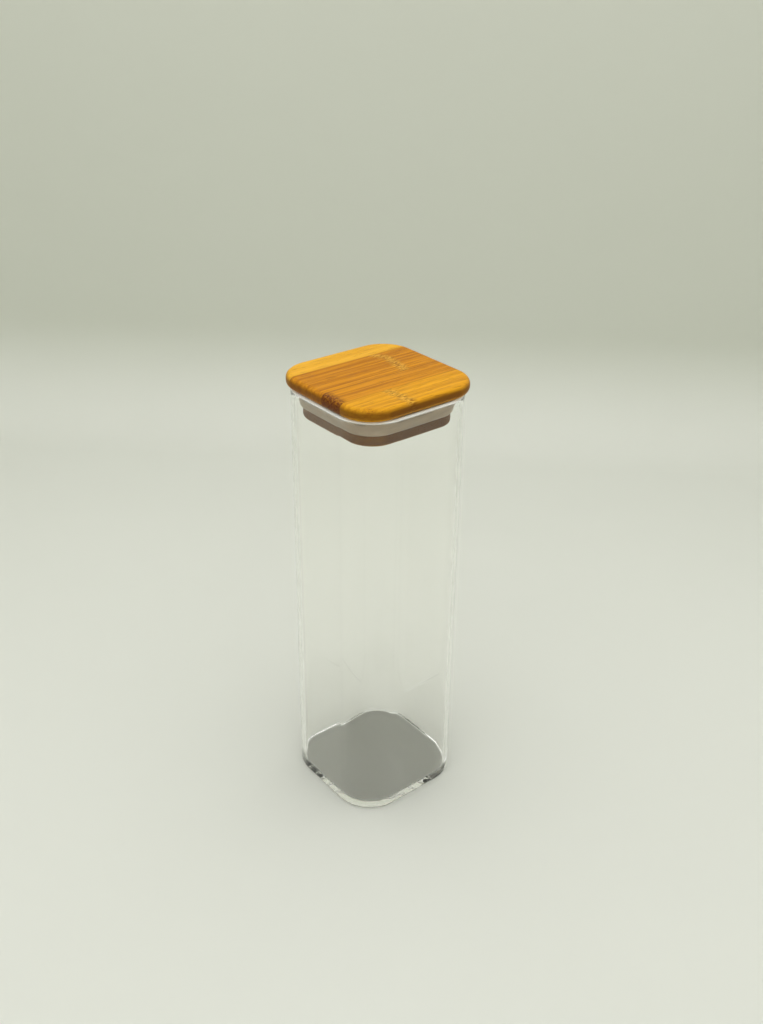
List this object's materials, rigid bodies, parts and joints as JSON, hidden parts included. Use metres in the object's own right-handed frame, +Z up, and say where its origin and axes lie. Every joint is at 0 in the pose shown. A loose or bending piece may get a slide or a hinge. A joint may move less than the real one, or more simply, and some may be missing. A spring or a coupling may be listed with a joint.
{
  "type": "spice jar",
  "caption": "Tall square glass spice and dry-food jar with a flat laminated bamboo lid, whose plug carries a silicone wiper seal. The lid lifts straight off.",
  "frame": {"origin": "centre of the jar's foot, on the surface that it stands on", "axes": "+Z up the jar, +X along the bamboo's grain, +Y towards the lid's back strip"},
  "size_m": [0.066, 0.066, 0.2153],
  "materials": {
    "clear_glass": "polished",
    "silicone": "satin, translucent",
    "bamboo_light": "fine sanded, oiled",
    "bamboo_dark": "fine sanded, oiled",
    "bamboo_gold": "fine sanded, oiled",
    "bamboo_brown": "fine sanded, oiled"
  },
  "bodies": {
    "jar": {"glass_jar": "clear_glass"},
    "lid": {"lid_strip_back": "bamboo_light", "lid_strip_wide": "bamboo_dark", "lid_strip_narrow": "bamboo_dark", "lid_strip_front": "bamboo_gold", "plug_neck": "bamboo_brown", "plug_strip_back": "bamboo_brown", "plug_strip_middle": "bamboo_brown", "plug_strip_front": "bamboo_brown", "seal": "silicone"}
  },
  "joints": [
    {"name": "lid_lift", "type": "slide", "parent": "jar", "child": "lid", "axis": [0, 0, 1], "range_m": [0, 0.06]}
  ]
}
